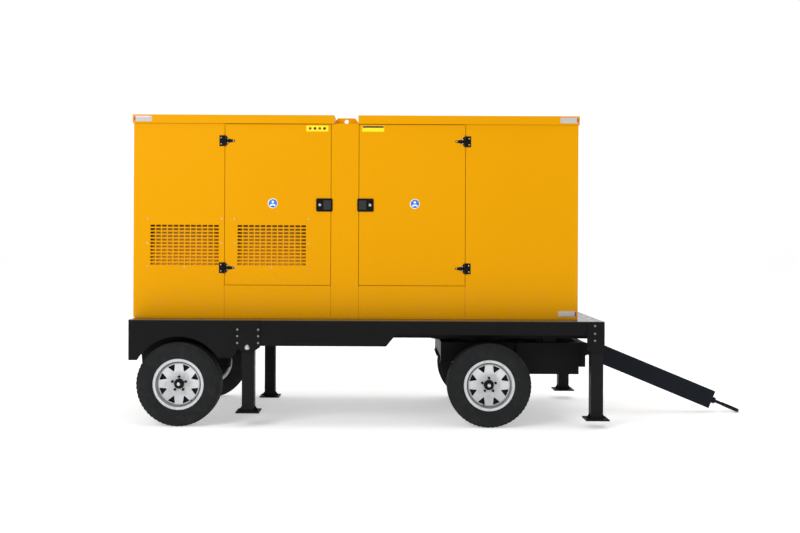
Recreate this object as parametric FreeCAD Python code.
"""Towable diesel generator: four-wheel trailer with a turntable front bogie, sound canopy and engine set.

Millimetres.  +X points to the tow eye, +Z up, -Y is the right-hand side.  Inside the functions x runs
from the deck's rear edge; save() moves every piece so that the origin is under the middle of the whole set.
"""
import FreeCAD
import Part
import math
import os
from FreeCAD import Vector

# ---- trailer: overall sizes -------------------------------------------------------------------------
deck_length = 3880
deck_width = 1760
deck_top = 870
deck_sheet = 5
rear_axle_x = 407
wheelbase = 2537
track = 1600

# ---- wheels -----------------------------------------------------------------------------------------
tyre_radius = 344
tyre_width = 205
tyre_wall = 10
tread_width = 160
groove_width = 8
groove_depth = 7
bead_radius = 191
flange_radius = 208
rim_width = 160
rim_sheet = 4.5
flange_gap = 0.4
well_radius = 176
disc_sheet = 6
disc_dish = 16            # how far the bolting face lies inside the disc's edge
disc_edge = 44            # disc edge, out from the wheel's middle plane
hub_face_radius = 95
rim_hole_count = 8
rim_hole_base = 162       # radius of each hole's wide side
rim_hole_tip = 104
rim_hole_half = 33
lug_count = 5
lug_circle = 114.3
lug_radius = 6.5
nut_flats = 19
nut_height = 16
cap_radius = 38
cap_length = 30
drum_radius = 130
drum_depth = 62
stub_radius = 17
running_gap = 0.06

# ---- axles and springs ------------------------------------------------------------------------------
axle_side = 70
leaf_width = 60
leaf_thick = 8
leaf_count = 5
leaf_half = 330
leaf_rise = 46
eye_radius = 20
eye_bore = 10
u_bolt_radius = 6
clamp_plate = 10
hanger_sheet = 8
rail_y = 500              # middle of the frame rails and springs
rail_width = 60

# ---- chassis ----------------------------------------------------------------------------------------
beam_depth = 205
beam_shallow = 109        # side beam depth over the steering wheels
beam_web = 8
beam_flange = 60
step_x = 2100
step_run = 80
skirt_bottom = 563
skirt_end_bottom = 540
skirt_end_run = 100
arch_gap = 46
rail_depth = 165
cross_width = 60
cross_count = 7
fender_y = 655

# ---- stabiliser legs --------------------------------------------------------------------------------
leg_side = 100
leg_wall = 6
leg_travel = 115
sleeve_wall = 5
sleeve_gap = 1.0
sleeve_bottom = 620
rear_leg_x = 974
pad_long = 190
pad_wide = 200
pad_sheet = 12
pad_hole = 7
pad_hole_inset = 25
foot_height = {"rear_right": 115, "front_right": 64, "front_left": 78, "rear_left": 0}
bracket_sheet = 8
bracket_wide = 200
bolt_radius = 9
bolt_head = 7
bolt_rows = (794, 741, 685)
front_bolt_rows = (836, 773, 716)
front_bolt_x = 3800

# ---- turntable, bogie, drawbar ----------------------------------------------------------------------
ring_radius = 480
ring_wall = 14
ring_bore = 400
ring_gap = 0.6
turntable_top = 700
bogie_top = 665
bogie_rail_bottom = 500
bogie_rear_run = 320
bogie_front_run = 786
bogie_nose_bottom = 400
bogie_nose_run = 400
bogie_end_bottom = 460
bogie_cover_run = 256      # cover plates start this far ahead of the axle
bogie_cover_gap = 18       # between rail and cover, room for the spring hangers
bogie_cover = 6
bogie_cover_top = 640
bogie_end_run = 60
pivot_run = 128           # drawbar pin ahead of the bogie's front face
pivot_z = 563
pin_radius = 15
lug_sheet = 16
drawbar_depth = 162
drawbar_width = 100
drawbar_wall = 6
drawbar_box = 1184        # pin to the end of the box
drawbar_reach = 1454      # pin to the tip of the tow eye
eye_sheet = 30
eye_rim = 34
eye_round = 8
tow_eye_bore = 50
shank_radius = 14
side_gap = 0.5

# ---- canopy -----------------------------------------------------------------------------------------
canopy_length = 3720
canopy_width = 1290
canopy_rear = -17
canopy_bottom = 880
canopy_top = 2570
sheet = 2
cap_lip = 10
cap_drop = 71
post = 40
door_bottom = 1146
door_top = 2495
rear_door = (744, 1634)
front_door = (1867, 2759)
door_gap = 4
door_return = 28
roof_rear_end = 1660
roof_front_start = 1860
trough_drop = 70
lift_plate_height = 52
lift_plate_sheet = 12
lift_plate_length = 226
lift_hole = 17
slot_columns = 12
slot_rows = 12
slot_pitch_x = 48.4
slot_pitch_z = 29
slot_wide = 39
slot_high = 17
grille_z = 1480
side_grille_x = 410
door_grille_x = 1139
hinge_z = (2353, 1290)
hinge_plate = 3
hinge_high = 90
hinge_leaf = 45
hinge_tongue = 84
hinge_pin = 4
knuckle = 7
knuckle_out = 9
lock_z = 1819
lock_wide = 137
lock_high = 110
lock_deep = 6
lock_inset = 111          # lock centre in from the door's free edge
paddle_wide = 62
paddle_high = 78
paddle_sheet = 3
paddle_gap = 1.5
key_radius = 9

# ---- engine set -------------------------------------------------------------------------------------
shaft_z = 1560
tank_height = 150
tank_width = 1060
tank_sheet = 4
alternator_x = (560, 1210)
alternator_radius = 265
housing_length = 110
housing_radius = 255
engine_x = (1320, 2420)
block_width = 420
block_low = 190
block_high = 260
casting = 22
fan_radius = 330
fan_hub = 60
fan_blades = 8
fan_x = 2560
shroud_gap = 15
radiator_x = (2640, 2760)
radiator_width = 980
radiator_height = 980
silencer_x = 3200
silencer_radius = 150
silencer_length = 860
pipe_radius = 40
battery_size = (330, 175, 220)
panel_size = (120, 620, 760)

half_deck = deck_width / 2
half_canopy = canopy_width / 2
canopy_front = canopy_rear + canopy_length
front_axle_x = rear_axle_x + wheelbase
deck_under = deck_top - deck_sheet
sleeve_side = leg_side + 2 * (sleeve_gap + sleeve_wall)
leg_y = half_deck - beam_web - sleeve_side / 2
front_leg_x = deck_length - sleeve_side / 2
bogie_front_x = front_axle_x + bogie_front_run
bogie_face_x = bogie_front_x + bogie_end_run
pivot_x = bogie_face_x + pivot_run
round_reach = drawbar_reach - eye_round       # pin to the middle of the tow eye's rounded edges
round_half = eye_sheet / 2 - eye_round
drawbar_drop = math.asin((pivot_z - eye_round) / math.hypot(round_reach, round_half)) \
    - math.atan2(round_half, round_reach)
tip_x = pivot_x + round_reach * math.cos(drawbar_drop) + round_half * math.sin(drawbar_drop) + eye_round
origin_x = (tip_x + canopy_rear - cap_lip) / 2
paddle_axis_z = lock_z + (paddle_high - paddle_sheet) / 2
X, Y, Z = Vector(1, 0, 0), Vector(0, 1, 0), Vector(0, 0, 1)


def box(x0, x1, y0, y1, z0, z1):
    return Part.makeBox(x1 - x0, y1 - y0, z1 - z0, Vector(x0, y0, z0))


def shell_box(x0, x1, y0, y1, z0, z1, wall):
    inner = box(x0 + wall, x1 - wall, y0 + wall, y1 - wall, z0 + wall, z1 - wall)
    return box(x0, x1, y0, y1, z0, z1).cut(inner)


def tube(x, y, z, direction, length, radius, bore=0):
    outer = Part.makeCylinder(radius, length, Vector(x, y, z), direction)
    if not bore:
        return outer
    return outer.cut(Part.makeCylinder(bore, length, Vector(x, y, z), direction))


def plate_xz(points, y0, thick):
    """Flat plate with the outline points (x, z), standing in the XZ plane from y0 to y0 + thick."""
    wire = Part.makePolygon([Vector(x, y0, z) for x, z in points + points[:1]])
    return Part.Face(wire).extrude(Vector(0, thick, 0))


def mirrored(shape):
    return shape.mirror(Vector(0, 0, 0), Y)


def fuse(shapes):
    return shapes[0].multiFuse(shapes[1:]).removeSplitter() if len(shapes) > 1 else shapes[0]


def save(name, shapes):
    moved = []
    for shape in shapes:
        for solid in shape.Solids:
            copy = solid.copy()
            copy.translate(Vector(-origin_x, 0, 0))
            moved.append(copy)
    result = moved[0] if len(moved) == 1 else Part.makeCompound(moved)
    result.exportStep("parts/" + name + ".step")
    print(name, len(moved), "solids")


# ---- wheels -----------------------------------------------------------------------------------------
def revolve_wheel(edges):
    return Part.Face(Part.Wire(edges)).revolve(Vector(0, 0, 0), Y, 360)


def section_point(radius, side):
    return Vector(radius, side, 0)


def tyre_shape():
    half = tyre_width / 2
    tread = tread_width / 2
    widest = (bead_radius + tyre_radius) / 2
    foot = rim_width / 2 - rim_sheet - 4

    def arch(offset, sign):
        bead = section_point(bead_radius, sign * (foot - offset))
        belly = section_point(widest, sign * (half - offset))
        shoulder = section_point(tyre_radius - 8 - offset, sign * (tread + 6 - offset))
        crown = section_point(tyre_radius - 2 - offset, sign * (tread - 6 - offset))
        return bead, belly, shoulder, crown

    out_r, out_l = arch(0, 1), arch(0, -1)
    in_r, in_l = arch(tyre_wall, 1), arch(tyre_wall, -1)
    line = Part.LineSegment
    edges = [
        Part.Arc(*out_r[:3]).toShape(), line(out_r[2], out_r[3]).toShape(),
        Part.Arc(out_r[3], section_point(tyre_radius, 0), out_l[3]).toShape(),
        line(out_l[3], out_l[2]).toShape(), Part.Arc(*reversed(out_l[:3])).toShape(),
        line(out_l[0], in_l[0]).toShape(), Part.Arc(*in_l[:3]).toShape(),
        line(in_l[2], in_l[3]).toShape(), line(in_l[3], in_r[3]).toShape(),
        line(in_r[3], in_r[2]).toShape(), Part.Arc(*reversed(in_r[:3])).toShape(),
        line(in_r[0], out_r[0]).toShape(),
    ]
    tyre = revolve_wheel(edges)
    pitch = tread_width / 5
    for index in range(4):
        side = (index - 1.5) * pitch
        low = Vector(0, side - groove_width / 2, 0)
        groove = Part.makeCylinder(tyre_radius + 1, groove_width, low, Y)
        groove = groove.cut(Part.makeCylinder(tyre_radius - groove_depth, groove_width, low, Y))
        tyre = tyre.cut(groove)
    flange = rim_width / 2 - rim_sheet - flange_gap
    for start in (-tyre_width, flange):
        tyre = tyre.cut(Part.makeCylinder(flange_radius + flange_gap, tyre_width - flange,
                                          Vector(0, start, 0), Y))
    return tyre


def ring(outer, inner, side0, side1):
    low = Vector(0, side0, 0)
    return Part.makeCylinder(outer, side1 - side0, low, Y).cut(
        Part.makeCylinder(inner, side1 - side0, low, Y))


def rim_shape():
    half = rim_width / 2
    seat = half - 45
    inner = bead_radius - rim_sheet
    bolt_face = disc_edge - disc_dish
    rim = fuse([
        ring(flange_radius, inner, half - rim_sheet, half),
        ring(bead_radius, inner, seat, half),
        ring(bead_radius, well_radius - rim_sheet, seat, seat + rim_sheet),
        ring(well_radius, well_radius - rim_sheet, -seat, disc_edge + disc_sheet),
        ring(bead_radius, well_radius - rim_sheet, -seat - rim_sheet, -seat),
        ring(bead_radius, inner, -half, -seat),
        ring(flange_radius, inner, -half, -half + rim_sheet),
    ])
    outline = [(cap_radius + 4, bolt_face), (hub_face_radius, bolt_face), (well_radius - 2, disc_edge),
               (well_radius - 2, disc_edge + disc_sheet), (hub_face_radius - 2, bolt_face + disc_sheet),
               (cap_radius + 4, bolt_face + disc_sheet)]
    wire = Part.makePolygon([section_point(r, s) for r, s in outline + outline[:1]])
    disc = Part.Face(wire).revolve(Vector(0, 0, 0), Y, 360)
    for index in range(rim_hole_count):
        corners = [Vector(-rim_hole_half, 0, rim_hole_base), Vector(rim_hole_half, 0, rim_hole_base),
                   Vector(0, 0, rim_hole_tip)]
        hole = Part.Face(Part.makePolygon(corners + corners[:1])).extrude(Vector(0, rim_width, 0))
        hole = hole.makeFillet(6, [e for e in hole.Edges if abs(e.BoundBox.YLength - rim_width) < 0.1])
        hole.rotate(Vector(0, 0, 0), Y, (index + 0.5) * 360 / rim_hole_count)
        disc = disc.cut(hole)
    for index in range(lug_count):
        angle = 2 * math.pi * index / lug_count
        centre = Vector(lug_circle / 2 * math.sin(angle), 0, lug_circle / 2 * math.cos(angle))
        disc = disc.cut(Part.makeCylinder(lug_radius + 0.5, rim_width, centre, Y))
    return rim.fuse(disc).removeSplitter()


def hub_shapes():
    face = disc_edge - disc_dish
    hub = fuse([
        ring(hub_face_radius - 10, stub_radius + running_gap, face - 14, face),
        ring(cap_radius, stub_radius + running_gap, -drum_depth, face + 8),
        ring(cap_radius, 0.1, face + 8, face + cap_length).fuse(
            Part.makeCylinder(cap_radius * 0.6, 6, Vector(0, face + cap_length, 0), Y)),
        ring(drum_radius, cap_radius, face - 22, face - 14),
        ring(drum_radius, drum_radius - 9, face - drum_depth, face - 14),
    ])
    hub = hub.fuse(Part.makeCylinder(cap_radius - 5, cap_length - 8, Vector(0, face + 8, 0), Y))
    solids = [hub.removeSplitter()]
    for index in range(lug_count):
        angle = 2 * math.pi * index / lug_count
        x, z = lug_circle / 2 * math.sin(angle), lug_circle / 2 * math.cos(angle)
        start = face + disc_sheet
        corner = nut_flats / math.sqrt(3)
        points = [Vector(x + corner * math.cos(k * math.pi / 3), start, z + corner * math.sin(k * math.pi / 3))
                  for k in range(6)]
        nut = Part.Face(Part.makePolygon(points + points[:1])).extrude(Vector(0, nut_height, 0))
        stud = Part.makeCylinder(lug_radius, nut_height + disc_sheet + 5, Vector(x, face, z), Y)
        solids.append(nut.fuse(stud).removeSplitter())
    return solids


def save_wheels():
    tyre, rim, hub = tyre_shape(), rim_shape(), hub_shapes()
    for end, x in (("rear", rear_axle_x), ("front", front_axle_x)):
        for side, sign in (("right", -1), ("left", 1)):
            for piece, shapes in (("tyre", [tyre]), ("rim", [rim]), ("hub", hub)):
                placed = []
                for shape in shapes:
                    copy = shape.copy() if sign > 0 else mirrored(shape)
                    copy.translate(Vector(x, sign * track / 2, tyre_radius))
                    placed.append(copy)
                save(piece + "_" + end + "_" + side, placed)


# ---- axle and springs -------------------------------------------------------------------------------
def axle_shape(x):
    shoulder = track / 2 - drum_depth - 12
    beam = box(x - axle_side / 2, x + axle_side / 2, -shoulder, shoulder,
               tyre_radius - axle_side / 2, tyre_radius + axle_side / 2)
    stub_end = track / 2 + disc_edge - disc_dish
    stub = tube(x, -stub_end, tyre_radius, Y, 2 * stub_end, stub_radius)
    return beam.fuse(stub).removeSplitter()


def leaf(x, top, index):
    """One arched leaf; the main leaf is on top and its ends stand leaf_rise above its middle."""
    radius = (leaf_half ** 2 + leaf_rise ** 2) / (2 * leaf_rise)
    centre_z = top + radius
    reach = math.asin(leaf_half / radius) * (1 - index * 0.17)
    inner, outer = radius + index * leaf_thick, radius + (index + 1) * leaf_thick

    def at(r, angle):
        return Vector(x + r * math.sin(angle), 0, centre_z - r * math.cos(angle))

    edges = [Part.Arc(at(inner, -reach), at(inner, 0), at(inner, reach)).toShape(),
             Part.LineSegment(at(inner, reach), at(outer, reach)).toShape(),
             Part.Arc(at(outer, reach), at(outer, 0), at(outer, -reach)).toShape(),
             Part.LineSegment(at(outer, -reach), at(inner, -reach)).toShape()]
    strip = Part.Face(Part.Wire(edges)).extrude(Vector(0, leaf_width, 0))
    strip.translate(Vector(0, -leaf_width / 2, 0))
    return strip


def spring_shapes(x):
    """Both leaf packs of one axle with their U-bolts and clamp plates."""
    seat = tyre_radius + axle_side / 2
    top = seat + leaf_count * leaf_thick
    eye_z = top + leaf_rise
    solids = []
    for y in (-rail_y, rail_y):
        for index in range(leaf_count):
            strip = leaf(x, top, index)
            if index == 0:
                for side in (-1, 1):
                    eye = tube(x + side * (leaf_half + eye_radius - 6), -leaf_width / 2, eye_z, Y,
                               leaf_width, eye_radius)
                    strip = strip.fuse(eye)
                for side in (-1, 1):
                    strip = strip.cut(tube(x + side * (leaf_half + eye_radius - 6), -leaf_width / 2, eye_z,
                                           Y, leaf_width, eye_bore))
            strip.translate(Vector(0, y, 0))
            solids.append(strip)
        low = tyre_radius - axle_side / 2 - clamp_plate
        out_x = axle_side / 2 + u_bolt_radius + 1
        out_y = leaf_width / 2 + u_bolt_radius + 1
        plate = box(x - out_x - 15, x + out_x + 15, y - out_y - 15, y + out_y + 15, low, low + clamp_plate)
        for side in (-1, 1):
            bolt_x = x + side * out_x
            legs = [tube(bolt_x, y + s * out_y, low - 18, Z, top + 5 - low + 18, u_bolt_radius)
                    for s in (-1, 1)]
            wide = u_bolt_radius + 1
            bridge = box(bolt_x - wide, bolt_x + wide, y - out_y - wide, y + out_y + wide, top, top + 2 * wide)
            bolt = fuse(legs + [bridge])
            plate = plate.cut(bolt)
            solids.append(bolt)
        solids.append(plate)
    return solids


def hanger_shapes(x, rail_bottom):
    """Cheek plates and eye bolts that carry the spring eyes below a rail."""
    eye_z = tyre_radius + axle_side / 2 + leaf_count * leaf_thick + leaf_rise
    cheek = leaf_width / 2 + 1
    shapes = []
    for y in (-rail_y, rail_y):
        for side in (-1, 1):
            eye_x = x + side * (leaf_half + eye_radius - 6)
            parts = [plate_xz([(eye_x - 45, rail_bottom), (eye_x - 24, eye_z - 24), (eye_x + 24, eye_z - 24),
                               (eye_x + 45, rail_bottom)], y + s * cheek - (hanger_sheet if s < 0 else 0),
                              hanger_sheet) for s in (-1, 1)]
            parts.append(tube(eye_x, y - cheek - hanger_sheet - 8, eye_z, Y,
                              2 * (cheek + hanger_sheet + 8), eye_bore - 0.5))
            parts.append(box(eye_x - 45, eye_x + 45, y - cheek - hanger_sheet, y + cheek + hanger_sheet,
                             rail_bottom - 6, rail_bottom))
            shapes.append(fuse(parts))
    return shapes


# ---- chassis ----------------------------------------------------------------------------------------
def side_beam():
    """Right-hand side beam with its wheel arch; the left one is its mirror image."""
    deep, shallow = deck_under - beam_depth, deck_under - beam_shallow
    arch_end = rear_leg_x - bracket_wide / 2
    outline = [(0, deck_under), (deck_length, deck_under), (deck_length, shallow), (step_x + step_run, shallow),
               (step_x, deep), (arch_end + 40, deep), (arch_end - 40, skirt_bottom),
               (skirt_end_run, skirt_bottom), (skirt_end_run, skirt_end_bottom), (0, skirt_end_bottom)]
    web = plate_xz(outline, -half_deck, beam_web)
    arch = tube(rear_axle_x, -half_deck - 1, tyre_radius, Y, beam_web + 2, tyre_radius + arch_gap)
    web = web.cut(arch)
    lip_end = -half_deck + beam_flange
    flanges = [box(0, deck_length, -half_deck, lip_end, deck_under - beam_web, deck_under),
               box(arch_end + 40, step_x, -half_deck, lip_end, deep, deep + beam_web),
               box(step_x + step_run, deck_length, -half_deck, lip_end, shallow, shallow + beam_web)]
    beam = fuse([web] + flanges)
    for x in (rear_leg_x, front_leg_x):
        half = sleeve_side / 2
        beam = beam.cut(box(x - half, x + half, -half_deck + beam_web, lip_end + 1, 0, deck_under))
    for x, z in bolt_places(True):
        beam = beam.cut(tube(x, -half_deck - 1, z, Y, beam_web + 2, bolt_radius * 0.6 + 0.5))
    return beam


def fender():
    """Inner mudguard wall behind the rear wheel."""
    end = rear_leg_x - bracket_wide / 2 + 20
    return box(0, end, -fender_y, -fender_y + 4, skirt_bottom, deck_under)


def chassis_frame():
    low = deck_under - rail_depth
    shapes = []
    for y in (-rail_y, rail_y):
        shapes.append(box(cross_width, deck_length - cross_width, y - rail_width / 2, y + rail_width / 2,
                          low, deck_under).cut(
            box(cross_width, deck_length - cross_width, y - rail_width / 2 + beam_web,
                y + rail_width / 2 - beam_web, low + beam_web, deck_under - beam_web)))
    inner = half_deck - beam_web
    pitch = (deck_length - cross_width) / (cross_count - 1)
    for x in (front_axle_x - ring_radius + cross_width, front_axle_x + ring_radius - 2 * cross_width):
        shapes.append(box(x, x + cross_width, -rail_y + rail_width / 2, rail_y - rail_width / 2, low,
                          deck_under - beam_shallow))
    for index in range(cross_count):
        x = index * pitch
        end = index in (0, cross_count - 1)
        reach = leg_y - sleeve_side / 2 - 1 if end else rail_y - rail_width / 2
        shapes.append(shell_box(x, x + cross_width, -reach, reach, deck_under - beam_shallow, deck_under, 5))
        if not end:
            outrigger = shell_box(x, x + cross_width, rail_y + rail_width / 2, inner,
                                  deck_under - beam_shallow, deck_under, 5)
            for beam_side in (outrigger, mirrored(outrigger)):
                shapes.append(beam_side)
    return shapes


def notch_outriggers(shapes):
    """Keep the short outer cross members clear of the side beam's lip, the fender and the sleeves."""
    tools = [box(0, deck_length, -half_deck, -half_deck + beam_flange, deck_under - beam_depth, deck_under)]
    tools += [box(x - sleeve_side / 2 - 1, x + sleeve_side / 2 + 1, -half_deck, -leg_y + sleeve_side / 2 + 1,
                  0, deck_under) for x in (rear_leg_x, front_leg_x)]
    tools.append(box(0, rear_leg_x, -fender_y - 1, -fender_y + 5, 0, deck_under))
    tools += [mirrored(tool) for tool in tools]
    result = []
    for shape in shapes:
        if abs(shape.BoundBox.Center.y) > rail_y + rail_width:
            shape = shape.cut(tools[0].multiFuse(tools[1:]))
        result.append(shape)
    return result


def leg_bracket(x, wide_plate):
    half = sleeve_side / 2
    inner = half - sleeve_wall
    top = deck_under
    sleeve = box(x - half, x + half, -leg_y - half, -leg_y + half, sleeve_bottom, top).cut(
        box(x - inner, x + inner, -leg_y - inner, -leg_y + inner, sleeve_bottom, top))
    left = x - (bracket_wide / 2 if wide_plate else half + 30)
    right = x + (bracket_wide / 2 if wide_plate else half)
    outline = [(left, top), (right, top), (right, sleeve_bottom + 30), (x + half, sleeve_bottom),
               (x - half, sleeve_bottom), (left, sleeve_bottom + 30)]
    plate = plate_xz(outline, -half_deck - bracket_sheet, bracket_sheet)
    for column, z in bolt_places(wide_plate):
        plate = plate.cut(tube(column, -half_deck - bracket_sheet, z, Y, bracket_sheet, bolt_radius * 0.6 + 0.5))
    web_fill = box(x - half, x + half, -half_deck, -leg_y - half, sleeve_bottom, deck_under - beam_depth) \
        if wide_plate else box(x - half, x + half, -half_deck, -leg_y - half, sleeve_bottom,
                               deck_under - beam_shallow)
    return fuse([sleeve, plate, web_fill])


def bolt_places(wide_plate):
    """Bolt centres (x, z): two columns on the wide rear plate, one on the front plate."""
    if not wide_plate:
        return [(front_bolt_x, z) for z in front_bolt_rows]
    reach = bracket_wide / 2 - 15
    return [(x, z) for x in (rear_leg_x - reach, rear_leg_x + reach) for z in bolt_rows]


def bracket_bolts():
    shapes = []
    outer = -half_deck - bracket_sheet
    for wide, shank in ((True, bracket_sheet + beam_web + 14), (False, bracket_sheet)):
        for x, z in bolt_places(wide):
            head = Part.makeCylinder(bolt_radius, bolt_head, Vector(x, outer - bolt_head, z), Y)
            bolt = head.fuse(Part.makeCylinder(bolt_radius * 0.6, shank, Vector(x, outer, z), Y))
            shapes += [bolt, mirrored(bolt)]
    return shapes


def leg_shape(x, side, height):
    y = side * leg_y
    half, inner = leg_side / 2, leg_side / 2 - leg_wall
    top = deck_under - 5 - leg_travel + height
    bottom = height + pad_sheet
    post_tube = box(x - half, x + half, y - half, y + half, bottom, top).cut(
        box(x - inner, x + inner, y - inner, y + inner, bottom, top))
    pad = box(x - pad_long / 2, x + pad_long / 2, y - pad_wide / 2, y + pad_wide / 2, height, bottom)
    for sx in (-1, 1):
        for sy in (-1, 1):
            pad = pad.cut(tube(x + sx * (pad_long / 2 - pad_hole_inset), y + sy * (pad_wide / 2 - pad_hole_inset),
                               height, Z, pad_sheet, pad_hole))
    gusset = [plate_xz([(x + s * half, bottom), (x + s * (half + 30), bottom), (x + s * half, bottom + 45)],
                       y - 4, 8) for s in (-1, 1)]
    return fuse([post_tube, pad] + gusset)


# ---- turntable, bogie and drawbar -------------------------------------------------------------------
def turntable_upper():
    outer = tube(front_axle_x, 0, bogie_top + 8, Z, turntable_top - bogie_top - 8, ring_radius,
                 ring_radius - ring_wall)
    flange = tube(front_axle_x, 0, turntable_top - 10, Z, 10, ring_radius, ring_bore)
    return outer.fuse(flange).removeSplitter()


def turntable_lower():
    high = turntable_top - 10 - ring_gap
    race = tube(front_axle_x, 0, bogie_top, Z, high - bogie_top, ring_radius - ring_wall - ring_gap,
                ring_radius - ring_wall - 40)
    base = tube(front_axle_x, 0, bogie_top, Z, 8 - ring_gap, ring_radius, ring_bore)
    return race.fuse(base).removeSplitter()


def bogie_shapes():
    rear = front_axle_x - bogie_rear_run - 60
    nose = bogie_front_x - bogie_nose_run
    solids = []
    for y in (-rail_y, rail_y):
        outline = [(rear, bogie_top), (bogie_front_x, bogie_top), (bogie_front_x, bogie_nose_bottom),
                   (nose + 60, bogie_nose_bottom), (nose + 30, bogie_rail_bottom), (rear, bogie_rail_bottom)]
        solids.append(plate_xz(outline, y - rail_width / 2, rail_width))
    inner = rail_y - rail_width / 2
    for x in (rear, front_axle_x - 50, front_axle_x + 350):
        solids.append(shell_box(x, x + 100, -inner, inner, bogie_rail_bottom + 40, bogie_top, 6))
    front = box(bogie_front_x, bogie_face_x, -inner - rail_width, inner + rail_width, bogie_end_bottom, bogie_top)
    solids.append(front)
    rail_face = inner + rail_width
    cover = box(front_axle_x + bogie_cover_run, bogie_front_x, -rail_face - bogie_cover_gap - bogie_cover,
                -rail_face - bogie_cover_gap, bogie_nose_bottom, bogie_cover_top)
    ledge = box(front_axle_x + bogie_cover_run, bogie_front_x, -rail_face - bogie_cover_gap - bogie_cover,
                -rail_face, bogie_cover_top, bogie_top)
    cover = cover.fuse(ledge).removeSplitter()
    solids += [cover, mirrored(cover)]
    for y in (-rail_y, rail_y):
        solids.append(box(front_axle_x + ring_radius + 8, front_axle_x + ring_radius + 118,
                          y - 25, y + 25, bogie_top, turntable_top - 1))
    for side in (-1, 1):
        y0 = side * (drawbar_width / 2 + side_gap)
        y1 = y0 + side * lug_sheet
        outline = [(bogie_face_x, bogie_end_bottom + 10), (pivot_x, pivot_z - 42), (pivot_x + 38, pivot_z - 20),
                   (pivot_x + 38, pivot_z + 20), (pivot_x, pivot_z + 42), (bogie_face_x, bogie_top - 10)]
        lug = plate_xz(outline, min(y0, y1), lug_sheet)
        solids.append(lug.cut(tube(pivot_x, min(y0, y1), pivot_z, Y, lug_sheet, pin_radius)))
    return solids


def drawbar_pin():
    reach = drawbar_width / 2 + side_gap + lug_sheet + 12
    pin = tube(pivot_x, -reach, pivot_z, Y, 2 * reach, pin_radius)
    heads = [tube(pivot_x, -reach - 8, pivot_z, Y, 8, pin_radius + 8), tube(pivot_x, reach, pivot_z, Y, 8,
                                                                            pin_radius + 8)]
    return fuse([pin] + heads)


def tilt(shape):
    shape.rotate(Vector(pivot_x, 0, pivot_z), Y, math.degrees(drawbar_drop))
    return shape


def drawbar_shape():
    """Box tongue, level here and then tilted down; its rear end is a solid knuckle round the pin."""
    half, deep = drawbar_width / 2, drawbar_depth / 2
    start = pivot_x + 70
    end = pivot_x + drawbar_box
    body = box(start, end, -half, half, pivot_z - deep, pivot_z + deep).cut(
        box(start + drawbar_wall, end - drawbar_wall, -half + drawbar_wall, half - drawbar_wall,
            pivot_z - deep + drawbar_wall, pivot_z + deep - drawbar_wall))
    neck = plate_xz([(pivot_x, pivot_z - 40), (start, pivot_z - deep + 5), (start, pivot_z + deep - 5),
                     (pivot_x, pivot_z + 40)], -half, drawbar_width)
    knuckle_end = tube(pivot_x, -half, pivot_z, Y, drawbar_width, 40)
    bar = fuse([body, neck, knuckle_end])
    return tilt(bar.cut(tube(pivot_x, -half, pivot_z, Y, drawbar_width, pin_radius + running_gap)))


def tow_eye():
    """Flat forged ring with rounded edges, its shank and the collar on the end of the box."""
    outer = tow_eye_bore + eye_rim
    centre_x = pivot_x + drawbar_reach - outer
    flat = tube(centre_x, 0, pivot_z - eye_sheet / 2, Z, eye_sheet, outer, tow_eye_bore)
    rounds = [edge for edge in flat.Edges if edge.Curve.TypeId == "Part::GeomCircle"]
    start = pivot_x + drawbar_box
    shank = tube(start, 0, pivot_z, X, centre_x - tow_eye_bore - eye_rim / 2 - start, shank_radius)
    collar = tube(start, 0, pivot_z, X, 40, 2 * shank_radius)
    return tilt(fuse([flat.makeFillet(eye_round, rounds), shank, collar]))


# ---- canopy -----------------------------------------------------------------------------------------
def slotted(panel, x, z, y):
    """Cut the air slots, slot_columns by slot_rows, round the centre (x, z)."""
    cutters = []
    for column in range(slot_columns):
        for row in range(slot_rows):
            cx = x + (column - (slot_columns - 1) / 2) * slot_pitch_x
            cz = z + (row - (slot_rows - 1) / 2) * slot_pitch_z
            cutters.append(box(cx - slot_wide / 2, cx + slot_wide / 2, y - 1, y + sheet + 1,
                               cz - slot_high / 2, cz + slot_high / 2))
    return panel.cut(cutters)


def side_panels():
    """Right-hand fixed panels: rear with air slots, centre column, front, and one below each door."""
    y = -half_canopy
    gap = door_gap
    top = canopy_top - sheet
    rear = box(canopy_rear + sheet, rear_door[0] - gap / 2, y, y + sheet, canopy_bottom, top)
    rear = slotted(rear, side_grille_x, grille_z, y)
    centre = box(rear_door[1] + gap / 2, front_door[0] - gap / 2, y, y + sheet, canopy_bottom,
                 canopy_top - trough_drop - sheet)
    front = box(front_door[1] + gap / 2, canopy_front - sheet, y, y + sheet, canopy_bottom, top)
    panels = [rear, centre, front]
    for low, high in (rear_door, front_door):
        panels.append(box(low - gap / 2, high + gap / 2, y, y + sheet, canopy_bottom, door_bottom - gap / 2))
        panels.append(box(low - gap / 2, high + gap / 2, y, y + sheet, door_top + gap / 2, top))
    return panels


def end_panels():
    solids = []
    for x in (canopy_rear, canopy_front - sheet):
        panel = box(x, x + sheet, -half_canopy, half_canopy, canopy_bottom, canopy_top - sheet)
        cutters = []
        for column in range(16):
            for row in range(14):
                y = (column - 7.5) * 54
                z = 1760 + (row - 6.5) * 42
                cutters.append(box(x - 1, x + sheet + 1, y - 22, y + 22, z - 9, z + 9))
        solids.append(panel.cut(cutters))
    return solids


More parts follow.
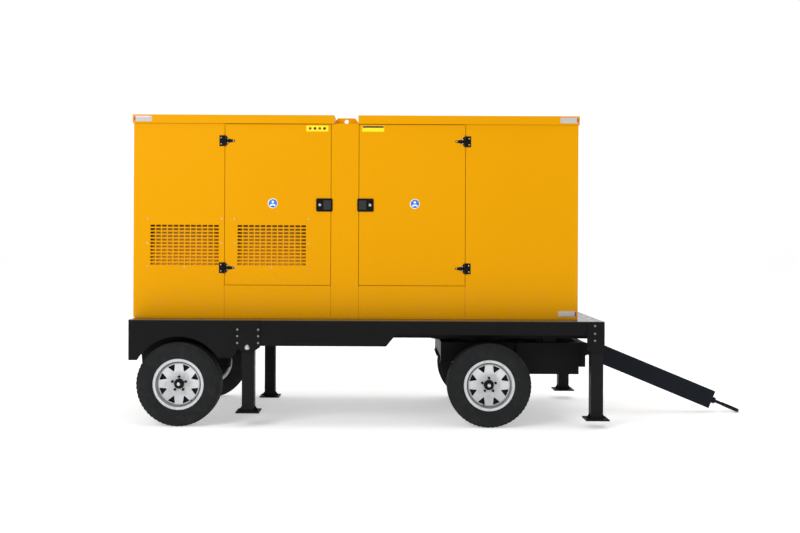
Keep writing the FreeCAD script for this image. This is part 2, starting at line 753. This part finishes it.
def canopy_frame():
    """Posts and rails that the sheets are fixed to, each a square bar."""
    y_out = half_canopy - sheet
    rail_out = half_canopy - door_return - door_gap
    y_in = rail_out - post
    top = canopy_top - trough_drop - sheet
    solids = []
    for sign in (-1, 1):
        y0, y1 = (y_in, y_out) if sign > 0 else (-y_out, -y_in)
        rail0, rail1 = (y_in, rail_out) if sign > 0 else (-rail_out, -y_in)
        posts = [canopy_rear + sheet, rear_door[0] - door_gap / 2 - post, rear_door[1] + door_gap / 2,
                 front_door[0] - door_gap / 2 - post, front_door[1] + door_gap / 2,
                 canopy_front - sheet - post]
        for x in posts:
            solids.append(box(x, x + post, y0, y1, deck_top + post, top - post))
        solids.append(box(canopy_rear + sheet, canopy_front - sheet, y0, y1, deck_top, deck_top + post))
        solids.append(box(canopy_rear + sheet, canopy_front - sheet, rail0, rail1, top - post, top))
    for x in (canopy_rear + sheet, (rear_door[1] + front_door[0] - post) / 2, canopy_front - sheet - post):
        solids.append(box(x, x + post, -y_in, y_in, top - post, top))
    return solids


def roof(x0, x1):
    """Shallow lid: its lip hangs outside the panels, and its inner end closes down onto the sunk centre sheet."""
    out = half_canopy + cap_lip
    outer = box(x0, x1, -out, out, canopy_top - cap_drop, canopy_top)
    inner = box(x0 + sheet, x1 - sheet, -out + sheet, out - sheet, canopy_top - cap_drop, canopy_top - sheet)
    return outer.cut(inner)


def lifting_beam():
    """Sunk centre sheet of the roof with the two lifting plates that stand on it."""
    middle = (roof_rear_end + roof_front_start) / 2
    low, high = middle - lift_plate_length / 2 + 14, middle + lift_plate_length / 2 - 14
    base = canopy_top - trough_drop
    shapes = [box(roof_rear_end, roof_front_start, -half_canopy, half_canopy, base - sheet, base)]
    for y in (-half_canopy + 60, half_canopy - 60 - lift_plate_sheet):
        outline = [(low, base), (high, base), (high, base + 14), (high - 26, base + lift_plate_height),
                   (low + 26, base + lift_plate_height), (low, base + 14)]
        plate = plate_xz(outline, y, lift_plate_sheet)
        shapes.append(plate.cut(tube(middle, y, base + lift_plate_height - lift_hole - 12, Y,
                                     lift_plate_sheet, lift_hole)))
    return fuse(shapes)


def door(low, high, with_slots):
    """Right-hand door skin with turned-in edges and a window-frame stiffener."""
    gap = door_gap / 2
    x0, x1, z0, z1 = low + gap, high - gap, door_bottom + gap, door_top - gap
    y = -half_canopy
    skin = box(x0, x1, y, y + sheet, z0, z1)
    rim = box(x0, x1, y, y + door_return, z0, z1).cut(
        box(x0 + sheet, x1 - sheet, y, y + door_return, z0 + sheet, z1 - sheet))
    shape = skin.fuse(rim).removeSplitter()
    if with_slots:
        shape = slotted(shape, door_grille_x, grille_z, y)
    return shape


def hinge_parts(axis_x, toward):
    """Leaves of one door's hinges: fixed square leaves with their pins, and tapered door leaves.

    toward is +1 where the door lies on the +X side of its hinge line, else -1."""
    y = -half_canopy
    axis_y = y - knuckle_out
    fixed, moving = [], []
    for z in hinge_z:
        half = hinge_high / 2
        leaf_plate = box(*sorted((axis_x - toward * hinge_leaf, axis_x - toward * 8)), y - hinge_plate, y,
                         z - half, z + half)
        arm = box(*sorted((axis_x - toward * 12, axis_x)), axis_y - 2, y, z - half + 2, z - 17)
        arm_top = box(*sorted((axis_x - toward * 12, axis_x)), axis_y - 2, y, z + 17, z + half - 2)
        pin = tube(axis_x, axis_y, z - half, Z, hinge_high, hinge_pin)
        knuckles = [tube(axis_x, axis_y, z - half, Z, half - 15.5, knuckle), tube(axis_x, axis_y, z + 15.5, Z,
                                                                                  half - 15.5, knuckle)]
        fixed.append(fuse([leaf_plate, arm, arm_top, pin] + knuckles))
        tip = axis_x + toward * hinge_tongue
        outline = [(axis_x + toward * 9, z - half), (axis_x + toward * 34, z - 16), (tip, z - 7), (tip, z + 7),
                   (axis_x + toward * 34, z + 16), (axis_x + toward * 9, z + half)]
        tongue = plate_xz(outline, y - hinge_plate, hinge_plate)
        link = box(*sorted((axis_x, axis_x + toward * 12)), axis_y - 2, y, z - 15, z + 15)
        barrel = tube(axis_x, axis_y, z - 15, Z, 30, knuckle)
        bore = tube(axis_x, axis_y, z - 16, Z, 32, hinge_pin + running_gap)
        moving.append(fuse([tongue, link, barrel]).cut(bore))
    return fixed, moving


def lock_parts(centre_x, toward):
    """Lock plate with its recess and key barrel, and the lifting paddle that fills the recess."""
    y = -half_canopy
    plate = box(centre_x - lock_wide / 2, centre_x + lock_wide / 2, y - lock_deep, y, lock_z - lock_high / 2,
                lock_z + lock_high / 2)
    edges = [e for e in plate.Edges if abs(e.BoundBox.YLength - lock_deep) < 0.1 and e.BoundBox.XLength < 0.1]
    plate = plate.makeFillet(12, edges)
    paddle_x = centre_x + toward * 24
    low_x, high_x = paddle_x - paddle_wide / 2, paddle_x + paddle_wide / 2
    recess = box(low_x - paddle_gap, high_x + paddle_gap, y - lock_deep, y - 1.5,
                 lock_z - paddle_high / 2 - paddle_gap, lock_z + paddle_high / 2 + paddle_gap)
    plate = plate.cut(recess)
    key = tube(centre_x - toward * 38, y - lock_deep - 5, lock_z, Y, 5, key_radius)
    paddle = box(low_x, high_x, y - lock_deep, y - lock_deep + paddle_sheet, lock_z - paddle_high / 2,
                 paddle_axis_z)
    rounded = tube(low_x, y - lock_deep + paddle_sheet / 2, paddle_axis_z, X, paddle_wide, paddle_sheet / 2)
    return [plate, key], paddle.fuse(rounded).removeSplitter()


def save_doors():
    for side in ("right", "left"):
        for name, (low, high), toward, slots in (("rear", rear_door, 1, True), ("front", front_door, -1, False)):
            axis_x = low if toward > 0 else high
            free_x = high if toward > 0 else low
            fixed, moving = hinge_parts(axis_x, toward)
            plate, paddle = lock_parts(free_x - toward * lock_inset / 2, toward)
            skin = door(low, high, slots)
            pieces = {"door": [skin], "door_fittings": moving + plate, "door_paddle": [paddle]}
            for piece, shapes in pieces.items():
                if side == "left":
                    shapes = [mirrored(shape) for shape in shapes]
                save(piece + "_" + name + "_" + side, shapes)
    leaves = []
    for (low, high), toward in ((rear_door, 1), (front_door, -1)):
        fixed, moving = hinge_parts(low if toward > 0 else high, toward)
        leaves += fixed + [mirrored(shape) for shape in fixed]
    save("hinge_leaves", leaves)


# ---- engine set -------------------------------------------------------------------------------------
def fuel_tank():
    low = deck_top + 0.5
    return shell_box(alternator_x[0] - 120, radiator_x[1] + 60, -tank_width / 2, tank_width / 2, low,
                     low + tank_height, tank_sheet)


def alternator():
    x0, x1 = alternator_x
    body = tube(x0, 0, shaft_z, X, x1 - x0, alternator_radius, alternator_radius - casting)
    ends = [tube(x0, 0, shaft_z, X, casting, alternator_radius), tube(x1 - casting, 0, shaft_z, X, casting,
                                                                      alternator_radius)]
    rotor = tube(x0 + 60, 0, shaft_z, X, x1 - x0 - 120, 120)
    terminal = shell_box(x0 + 60, x0 + 380, -180, 180, shaft_z + alternator_radius - 20,
                         shaft_z + alternator_radius + 150, 3)
    tank_top = deck_top + 0.5 + tank_height
    feet = [box(x0 + 80, x1 - 80, y, y + 60, tank_top, shaft_z - alternator_radius * 0.62)
            for y in (-230, 170)]
    shell = fuse([body] + ends + [terminal] + feet)
    return [shell, rotor]


def engine():
    x0, x1 = engine_x
    bell_start = alternator_x[1]
    bell = tube(bell_start, 0, shaft_z, X, x0 - bell_start, housing_radius, housing_radius - casting)
    half = block_width / 2
    block = shell_box(x0, x1, -half, half, shaft_z - block_low, shaft_z + block_high, casting)
    sump = shell_box(x0 + 60, x1 - 60, -half + 50, half - 50, shaft_z - block_low - 170, shaft_z - block_low, 5)
    head_top = shaft_z + block_high + 150
    head = shell_box(x0 + 20, x1 - 20, -half + 30, half - 30, shaft_z + block_high, head_top, 15)
    covers = []
    pitch = (x1 - x0 - 80) / 6
    for index in range(6):
        start = x0 + 50 + index * pitch
        covers.append(box(start, start + pitch - 20, -half + 60, half - 60, head_top, head_top + 70))
    manifold = tube(x0 + 60, half + 50, shaft_z + block_high + 70, X, x1 - x0 - 120, 50, 40)
    runners = [tube(x0 + 120 + index * pitch, half - 31, shaft_z + block_high + 70, Y, 40, 26)
               for index in range(6)]
    cleaner = tube(x0 + 250, -half - 130, head_top - 20, X, 480, 115, 110)
    cleaner_ends = [tube(x, -half - 130, head_top - 20, X, 8, 115) for x in (x0 + 250, x0 + 722)]
    strap = box(x0 + 480, x0 + 520, -half - 40, -half + 60, head_top - 30, head_top - 10)
    tank_top = deck_top + 0.5 + tank_height
    feet = [box(x, x + 90, y, y + 70, tank_top, shaft_z - block_low + 30)
            for x in (x0 + 80, x1 - 200) for y in (-half - 69, half - 1)]
    front_case = tube(x1, 0, shaft_z, X, 40, 150)
    return [bell, fuse([block, head, front_case] + feet), sump] + covers + [
        fuse([manifold] + runners), fuse([cleaner, strap] + cleaner_ends)]


def fan_shapes():
    hub = tube(fan_x - 40, 0, shaft_z, X, 80, fan_hub)
    shaft = tube(engine_x[1] + 41, 0, shaft_z, X, fan_x - 40 - engine_x[1] - 41, 25)
    blades = []
    for index in range(fan_blades):
        blade = box(-3, 3, -55, 55, fan_hub - 8, fan_radius)
        blade.rotate(Vector(0, 0, 0), Z, 32)
        blade.translate(Vector(fan_x, 0, shaft_z))
        blade.rotate(Vector(fan_x, 0, shaft_z), X, index * 360 / fan_blades)
        blades.append(blade)
    return fuse([hub, shaft] + blades)


def radiator():
    x0, x1 = radiator_x
    half = radiator_width / 2
    low = deck_top + 0.5 + tank_height
    high = low + radiator_height
    core = shell_box(x0, x1, -half, half, low, high, 12)
    centre_z = shaft_z
    shroud = tube(x0 - 110, 0, centre_z, X, 110, fan_radius + shroud_gap + 4, fan_radius + shroud_gap)
    back = box(x0 - 6, x0, -half, half, low + 30, high - 30).cut(
        tube(x0 - 7, 0, centre_z, X, 8, fan_radius + shroud_gap))
    return fuse([core, shroud, back])


def silencer():
    low_y = -silencer_length / 2
    z = canopy_top - 320
    can = tube(silencer_x, low_y, z, Y, silencer_length, silencer_radius, silencer_radius - 3)
    ends = [tube(silencer_x, y, z, Y, 5, silencer_radius) for y in (low_y, -low_y - 5)]
    pipe_x, pipe_y = engine_x[1] - 120, block_width / 2 + 50
    inlet = tube(pipe_x, pipe_y, z, X, silencer_x - silencer_radius * 0.9 - pipe_x, pipe_radius)
    riser_low = shaft_z + block_high + 70 + 50
    riser = tube(pipe_x, pipe_y, riser_low, Z, z - riser_low, pipe_radius)
    elbow = Part.makeSphere(pipe_radius, Vector(pipe_x, pipe_y, z))
    outlet = tube(silencer_x, -200, z + silencer_radius - 6, Z, 100, pipe_radius, pipe_radius - 3)
    return fuse([can, inlet, riser, elbow, outlet] + ends)


def battery():
    length, width, height = battery_size
    low = deck_top + 0.5
    x = radiator_x[1] + 240
    body = box(x, x + length, -width / 2, width / 2, low, low + height)
    posts = [tube(x + 40, y, low + height, Z, 18, 9) for y in (-50, 50)]
    return [body] + posts


def control_panel():
    deep, wide, high = panel_size
    x = canopy_rear + 120
    z = 1450
    case = shell_box(x, x + deep, -wide / 2, wide / 2, z, z + high, 2)
    stand = [box(x + 30, x + 70, y, y + 40, deck_top + 0.5, z) for y in (-wide / 2 + 20, wide / 2 - 60)]
    return [fuse([case] + stand)]


def build():
    os.makedirs("parts", exist_ok=True)
    save("deck_plate", [box(0, deck_length, -half_deck, half_deck, deck_under, deck_top)])
    save("side_beam_right", [side_beam()])
    save("side_beam_left", [mirrored(side_beam())])
    rail_bottom = deck_under - rail_depth
    fenders = [fender(), mirrored(fender())]
    save("chassis_frame", notch_outriggers(chassis_frame()) + hanger_shapes(rear_axle_x, rail_bottom) + fenders)
    brackets = [leg_bracket(rear_leg_x, True), leg_bracket(front_leg_x, False)]
    save("leg_brackets", brackets + [mirrored(shape) for shape in brackets])
    save("bracket_bolts", bracket_bolts())
    for name, height in foot_height.items():
        x = rear_leg_x if name.startswith("rear") else front_leg_x
        save("leg_" + name, [leg_shape(x, -1 if name.endswith("right") else 1, height)])
    for name, x in (("rear", rear_axle_x), ("front", front_axle_x)):
        save(name + "_axle", [axle_shape(x)])
        save(name + "_springs", spring_shapes(x))
    save_wheels()
    save("turntable_upper", [turntable_upper()])
    save("turntable_lower", [turntable_lower()])
    save("bogie_frame", bogie_shapes() + hanger_shapes(front_axle_x, bogie_rail_bottom))
    save("drawbar_pin", [drawbar_pin()])
    save("drawbar", [drawbar_shape()])
    save("tow_eye", [tow_eye()])
    panels = side_panels()
    save("side_panels_right", panels)
    save("side_panels_left", [mirrored(panel) for panel in panels])
    save("end_panels", end_panels())
    save("canopy_frame", canopy_frame())
    save("roof_rear", [roof(canopy_rear - cap_lip, roof_rear_end)])
    save("roof_front", [roof(roof_front_start, canopy_front + cap_lip)])
    save("lifting_beam", [lifting_beam()])
    save_doors()
    save("fuel_tank", [fuel_tank()])
    save("alternator", alternator())
    save("engine", engine())
    save("cooling_fan", [fan_shapes()])
    save("radiator", [radiator()])
    save("silencer", [silencer()])
    save("battery", battery())
    save("control_panel", control_panel())


build()
